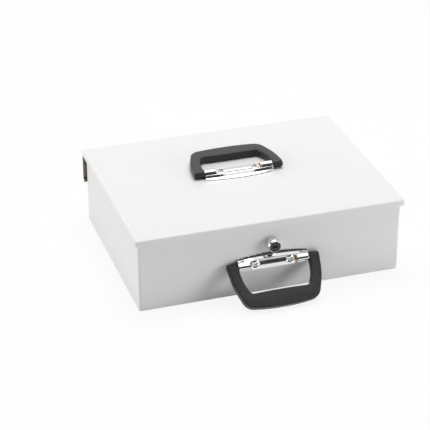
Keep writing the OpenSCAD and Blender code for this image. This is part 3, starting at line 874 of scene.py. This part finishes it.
# %% The grip's surface
def soft_corner(before, corner, after, size, steps=8):
    """Bends a corner into a curve (1-s)^2 a + 2 s (1-s) p + s^2 b that starts size before it."""
    before, corner, after = (np.asarray(p, dtype=float) for p in (before, corner, after))
    u = (before - corner) / np.linalg.norm(before - corner)
    v = (after - corner) / np.linalg.norm(after - corner)
    s = np.linspace(0, 1, steps + 1)[:, None]
    return (1 - s) ** 2 * (corner + size * u) + 2 * s * (1 - s) * corner + s**2 * (corner + size * v)


def rail(corners, sizes):
    """One side's outline from the pivot to the middle of the bar, then mirrored to the other side."""
    bends = [soft_corner(*corners[i:i + 3], size) for i, size in enumerate(sizes)]
    half = np.concatenate([corners[:1], *bends])
    spots = np.arange(len(half) - 1)
    fine = np.concatenate([np.linspace(0, 1, 9)[:-1], np.arange(1, len(half), 0.5)])
    half = np.stack([np.interp(fine, np.arange(len(half)), half[:, k]) for k in range(2)], axis=-1)
    del spots
    return np.concatenate([half, half[::-1] * (-1, 1)])


def grip_surface(edge=2.2 * MM):
    """The grip in its own plane: X along the pivot, -Y towards the bar, Z through its thickness."""
    half_w = grip_high[0]
    reach = grip_high[1] - lid_pivot[1]
    thick = (grip_high[2] - grip_low[2]) / 2
    bar = reach - 21.5 * MM
    outer_corners = np.array(
        [
            (half_w, 0),
            (half_w - 1.0 * MM, -reach * 0.175),
            (half_w - 2.4 * MM, -reach * 0.42),
            (half_w - 13.2 * MM, -reach * 0.94),
            (half_w * 0.3, -reach),
            (-half_w * 0.3, -reach),
        ]
    )
    inner_corners = np.array(
        [
            (half_w - 14.2 * MM, 0),
            (half_w - 14.2 * MM, -9.8 * MM),
            (half_w - 15.8 * MM, -bar * 0.58),
            (half_w - 22.4 * MM, -bar),
            (half_w * 0.25, -bar + 0.9 * MM),
            (-half_w * 0.25, -bar + 0.9 * MM),
        ]
    )
    outer = rail(outer_corners, [3 * MM, 10 * MM, 10.5 * MM, 14 * MM])
    inner = rail(inner_corners, [2 * MM, 5 * MM, 4.5 * MM, 12 * MM])
    turn = np.linspace(math.pi / 2, 0, 10)[:-1]
    tip = np.stack([np.zeros_like(turn), thick * np.sin(turn)], axis=-1)
    outer = np.concatenate([outer[0] + tip, outer, outer[-1] + tip[::-1]])
    inner = np.concatenate([inner[0] + tip, inner, inner[-1] + tip[::-1]])
    height = np.concatenate([thick * np.cos(turn), np.full(len(outer) - 2 * len(turn), thick), thick * np.cos(turn[::-1])])
    across = outer - inner
    width = np.linalg.norm(across, axis=1)
    across /= width[:, None]
    middle = (outer + inner) / 2
    round_r = np.minimum(edge, height)[:, None]
    angle = np.concatenate([k * math.pi / 2 + np.linspace(0, math.pi / 2, 7) for k in range(4)])
    sign_a = np.repeat([1, -1, -1, 1], 7)
    sign_b = np.repeat([1, 1, -1, -1], 7)
    side = sign_a * (width[:, None] / 2 - round_r) + round_r * np.cos(angle)
    lift = sign_b * (height[:, None] - round_r) + round_r * np.sin(angle)
    flat = middle[:, None] + side[..., None] * across[:, None]
    return np.concatenate([flat, lift[..., None]], axis=-1)


# %% The two grips, each lying as it rests
grip_reach = grip_high[1] - lid_pivot[1]
grip_half = (grip_high[2] - grip_low[2]) / 2
diagonal = math.hypot(grip_reach, grip_half)
front_tilt = math.atan2(grip_half, grip_reach) + math.acos(
    (front_pivot[2] - (pivot_h - grip_half)) / diagonal
)
tilts = {"lid": 0.0, "front": front_tilt}
for name, (axes, origin, body) in handles.items():
    c, s = math.cos(tilts[name]), math.sin(tilts[name])
    turned = grip_surface() @ np.array([(1, 0, 0), (0, c, -s), (0, s, c)]) + (0, 0, pivot_h)
    make_piece(
        f"{name}_grip_moulding",
        [moved(turned, axes, origin)],
        grip_plastic,
        f"{name}_handle",
        [f"{name}_grip"],
        round_columns=True,
    )
print("front grip leans out by", round(math.degrees(front_tilt), 1), "degrees")

# %% [markdown]
# ## Rivet heads
#
# Six rivets hold the lid's hinge leaf. Their heads show on the painted rear flange as low domes.

# %% Rivets of the lid
rivets_low, rivets_high = (np.array(c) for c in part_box("hinge_rivets_lid"))
rivet_r = (rivets_high[2] - rivets_low[2]) / 2
rivet_z = (rivets_high[2] + rivets_low[2]) / 2
rivet_x = np.linspace(rivets_low[0] + rivet_r, rivets_high[0] - rivet_r, 6)
leaf_low, leaf_high = (np.array(c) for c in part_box("hinge_leaf_lid"))
share = np.linspace(0, 1, 9)
dome_h = rivets_high[1] - lid_high[1]
dome = np.stack([rivet_r * share, dome_h * np.sqrt(1 - 0.98 * share**2)], axis=-1)
inside_h = rivets_low[1] - lid_high[1]
tail = [(rivet_r, 0), (1.5 * MM, 0), (1.5 * MM, inside_h + 1 * MM), (rivet_r, inside_h + 1 * MM), (rivet_r, inside_h), (0, inside_h)]
rivet_profile = np.concatenate([dome, tail])
REAR_AXES = [(1, 0, 0), (0, 0, -1), (0, 1, 0)]
rivet_grids = [moved(lathe(rivet_profile, 28), REAR_AXES, (x, lid_high[1], rivet_z)) for x in rivet_x]
make_piece("lid_rivets", rivet_grids, enamel, "lid", ["hinge_rivets_lid"], round_rows=True)

# %% [markdown]
# ## Floor, background and light
#
# The box stands on a white sweep. The floor's colour is white, and what the camera, glossy and
# transmitted rays see of it is mostly an even white, mixed with the lit floor so that the box keeps a
# soft shadow. The light is plain: a dim even surround, a large soft light overhead, one on the left
# that makes the case's left side pale, and a weaker one at the right front. A dark card behind the
# camera, hidden from it and bent round the front, gives the chrome its dark lines, as a dark studio
# would.

# %% Floor
floor_mesh = bpy.data.meshes.new("floor")
FLOOR_HALF = 6.0
floor_mesh.from_pydata(
    [(-FLOOR_HALF, -FLOOR_HALF, 0), (FLOOR_HALF, -FLOOR_HALF, 0), (FLOOR_HALF, FLOOR_HALF, 0), (-FLOOR_HALF, FLOOR_HALF, 0)],
    [],
    [(0, 1, 2, 3)],
)
floor = bpy.data.objects.new("floor", floor_mesh)
bpy.context.collection.objects.link(floor)


def seen_directly(tree):
    """1 for rays from the camera, reflections and transmission, 0 for the rays that carry light."""
    path = add_node(tree, "ShaderNodeLightPath")
    shiny = add_node(
        tree,
        "ShaderNodeMath",
        {0: path.outputs["Is Glossy Ray"], 1: path.outputs["Is Transmission Ray"]},
        operation="MAXIMUM",
    )
    return add_node(
        tree, "ShaderNodeMath", {0: path.outputs["Is Camera Ray"], 1: shiny.outputs["Value"]}, operation="MAXIMUM"
    )


SHADOW_SHARE = 0.13
floor_material = bpy.data.materials.new("white_sweep")
floor_material.use_nodes = True
tree = floor_material.node_tree
tree.nodes.clear()
lit = add_node(tree, "ShaderNodeBsdfDiffuse", values={"Color": linear("#F4F4F4")})
even = add_node(tree, "ShaderNodeEmission", values={"Color": (1, 1, 1, 1), "Strength": 1.0})
direct = seen_directly(tree)
amount = add_node(tree, "ShaderNodeMath", {0: direct.outputs["Value"]}, {1: 1 - SHADOW_SHARE}, operation="MULTIPLY")
white = add_node(
    tree,
    "ShaderNodeMixShader",
    {0: amount.outputs["Value"], 1: lit.outputs["BSDF"], 2: even.outputs["Emission"]},
)
add_node(tree, "ShaderNodeOutputMaterial", {"Surface": white.outputs["Shader"]})
floor_mesh.materials.append(floor_material)

# %% Surround
world = bpy.data.worlds.new("surround")
bpy.context.scene.world = world
world.use_nodes = True
tree = world.node_tree
tree.nodes.clear()
light_ray = add_node(tree, "ShaderNodeBackground", values={"Color": (1, 1, 1, 1), "Strength": 0.5})
seen_ray = add_node(tree, "ShaderNodeBackground", values={"Color": (1, 1, 1, 1), "Strength": 1.0})
mixed = add_node(
    tree,
    "ShaderNodeMixShader",
    {0: seen_directly(tree).outputs["Value"], 1: light_ray.outputs["Background"], 2: seen_ray.outputs["Background"]},
)
add_node(tree, "ShaderNodeOutputWorld", {"Surface": mixed.outputs["Shader"]})


# %% Soft lights and the dark card
def soft_light(name, place, target, size, power):
    """A square light of a size in metres that faces its target."""
    data = bpy.data.lights.new(name, "AREA")
    data.size = size
    data.energy = power
    lamp = bpy.data.objects.new(name, data)
    bpy.context.collection.objects.link(lamp)
    lamp.location = place
    aim = np.asarray(target, dtype=float) - np.asarray(place, dtype=float)
    from mathutils import Vector
    lamp.rotation_euler = Vector(aim.tolist()).to_track_quat("-Z", "Y").to_euler()
    print("light", name, power, "W")


AIM = (0, 0, 0.05)
soft_light("overhead", (0.2, 0.3, 2.2), AIM, 1.6, 30)
soft_light("left_side", (-2.2, 0.3, 0.8), AIM, 1.4, 17)
soft_light("right_front", (1.6, -1.3, 0.4), AIM, 0.9, 18)


# %% Dark card
def card_surface(radius=2.6, low=0.03, high=3.0, steps=48):
    """A wall bent round the front half of a circle, from the left of the object to its right."""
    angle = np.linspace(-math.pi, 0, steps)[:, None]
    z = np.array([low, high])
    x, y = radius * np.cos(angle), radius * np.sin(angle)
    return np.stack([x + 0 * z, y + 0 * z, z + 0 * x], axis=-1)


card_grid = card_surface()
card_mesh = bpy.data.meshes.new("dark_card")
card_mesh.from_pydata(
    card_grid.reshape(-1, 3).tolist(), [], grid_faces(*card_grid.shape[:2], False, False).tolist()
)
card = bpy.data.objects.new("dark_card", card_mesh)
bpy.context.collection.objects.link(card)
card.visible_camera = False
card_material = bpy.data.materials.new("dark_card")
card_material.use_nodes = True
card_material.node_tree.nodes["Principled BSDF"].inputs["Base Color"].default_value = linear("#161616")
card_mesh.materials.append(card_material)

# %% [markdown]
# ## Finish
#
# Colours are shown as they are written, with the Standard view.

# %% Show the colours as written
bpy.context.scene.view_settings.view_transform = "Standard"
